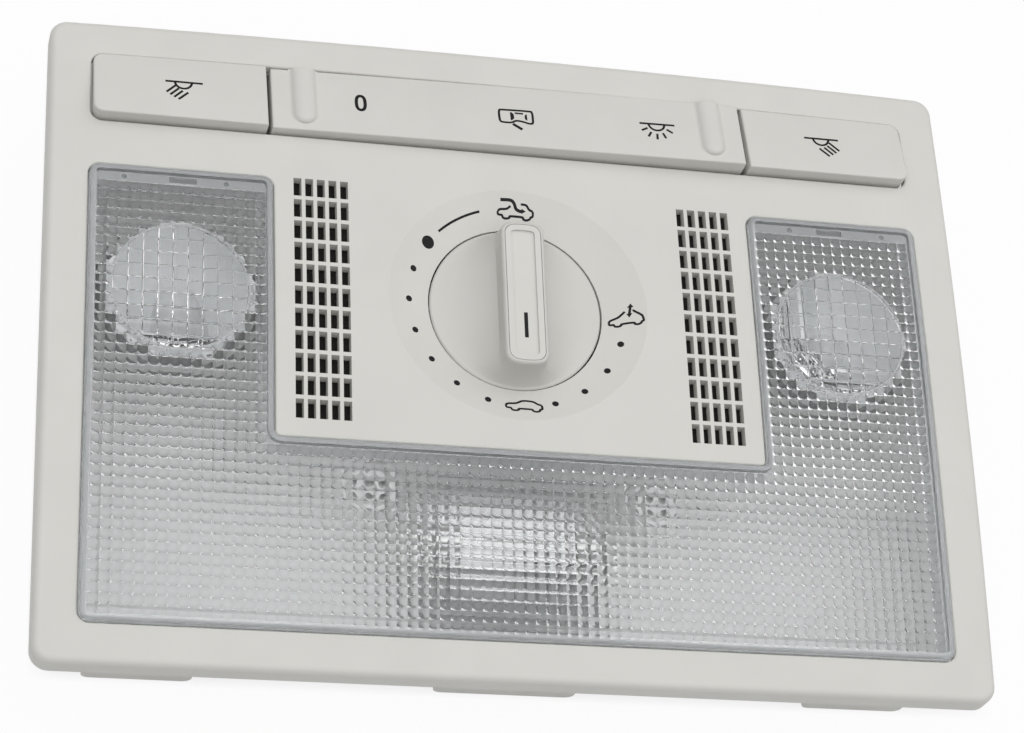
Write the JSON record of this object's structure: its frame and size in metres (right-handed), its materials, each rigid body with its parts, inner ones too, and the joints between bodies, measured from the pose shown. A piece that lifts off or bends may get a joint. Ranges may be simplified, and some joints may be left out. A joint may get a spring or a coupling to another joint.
{
  "type": "car dome light",
  "caption": "Roof console for a car with a U-shaped clear lens, a row of press and rocker switches, a sunroof dial knob and grilles.",
  "frame": {"origin": "centre of the panel's rear rim, in the plane that meets the roof lining", "axes": "+X to the right of the face, +Y towards the switch row, +Z out of the face"},
  "size_m": [0.205, 0.15, 0.0394],
  "materials": {
    "grey_plastic": "pale warm grey, fine mould grain",
    "clear_lens": "clear moulded plastic with small prisms inside",
    "white_plastic": "white moulded plastic",
    "black_fleece": "black acoustic fleece",
    "ink": "dark inlay",
    "black_plastic": "black technical plastic",
    "spring_steel": "zinc-plated steel",
    "brass_contact": "tinned brass",
    "bright_metal": "bright reflector",
    "bulb_glass": "clear lamp glass",
    "cap_metal": "drawn end caps",
    "board": "green laminate"
  },
  "bodies": {
    "base": {"bezel": "grey_plastic", "lens": "clear_lens", "rotary_case": "black_plastic", "rotary_cover": "black_plastic", "lamp_housing": "white_plastic", "housing_screws": "spring_steel", "bulb_holder_left": "black_plastic", "bulb_holder_right": "black_plastic", "reading_bulb_left": "bulb_glass", "reading_bulb_right": "bulb_glass", "reading_reflector_left": "bright_metal", "reading_reflector_right": "bright_metal", "dome_bulb": "bulb_glass", "dome_bulb_caps": "cap_metal", "dome_contact_left": "brass_contact", "dome_contact_right": "brass_contact", "dome_reflector": "bright_metal", "circuit_board": "board", "connector_shell": "black_plastic", "connector_pins": "brass_contact", "retaining_clip_left": "spring_steel", "retaining_clip_right": "spring_steel", "grille_mesh_left": "black_fleece", "grille_mesh_right": "black_fleece", "switch_reading_left": "black_plastic", "switch_reading_right": "black_plastic", "switch_rocker_left": "black_plastic", "switch_rocker_right": "black_plastic"},
    "left_key": {"reading_button_left": "grey_plastic"},
    "right_key": {"reading_button_right": "grey_plastic"},
    "rocker": {"dome_rocker": "grey_plastic"},
    "knob": {"sunroof_knob": "grey_plastic", "knob_cap": "grey_plastic", "knob_pointer": "ink", "knob_spindle": "white_plastic"},
    "left_key_plunger": {"plunger_reading_left": "white_plastic"},
    "right_key_plunger": {"plunger_reading_right": "white_plastic"},
    "rocker_left_plunger": {"plunger_rocker_left": "white_plastic"},
    "rocker_right_plunger": {"plunger_rocker_right": "white_plastic"}
  },
  "joints": [
    {"name": "left_key_press", "type": "hinge", "parent": "base", "child": "left_key", "pos_m": [-0.074, 0.069, 0.0016], "axis": [1, 0, 0], "range_deg": [0, 3], "stiffness_Nm_per_rad": 0.4, "springref_deg": -3.44},
    {"name": "right_key_press", "type": "hinge", "parent": "base", "child": "right_key", "pos_m": [0.074, 0.069, 0.0016], "axis": [1, 0, 0], "range_deg": [0, 3], "stiffness_Nm_per_rad": 0.4, "springref_deg": -3.44},
    {"name": "rocker_tilt", "type": "hinge", "parent": "base", "child": "rocker", "pos_m": [0, 0.0575, 0.0008], "axis": [0, 1, 0], "range_deg": [0, 2]},
    {"name": "knob_turn", "type": "hinge", "parent": "base", "child": "knob", "pos_m": [0, 0.01105, 0], "axis": [0, 0, 1], "range_deg": [-180, 90]},
    {"name": "left_key_plunge", "type": "slide", "parent": "base", "child": "left_key_plunger", "axis": [0, 0, -1], "range_m": [0, 0.00105]},
    {"name": "right_key_plunge", "type": "slide", "parent": "base", "child": "right_key_plunger", "axis": [0, 0, -1], "range_m": [0, 0.00105]},
    {"name": "rocker_left_rise", "type": "slide", "parent": "base", "child": "rocker_left_plunger", "axis": [0, 0, 1], "range_m": [0, 0.0016]},
    {"name": "rocker_right_plunge", "type": "slide", "parent": "base", "child": "rocker_right_plunger", "axis": [0, 0, -1], "range_m": [0, 0.0016]}
  ],
  "couplings": [
    {"joint": "left_key_plunge", "follows": "left_key_press", "m_per_rad": 0.018},
    {"joint": "right_key_plunge", "follows": "right_key_press", "m_per_rad": 0.018},
    {"joint": "rocker_left_rise", "follows": "rocker_tilt", "m_per_rad": 0.04},
    {"joint": "rocker_right_plunge", "follows": "rocker_tilt", "m_per_rad": 0.042}
  ]
}
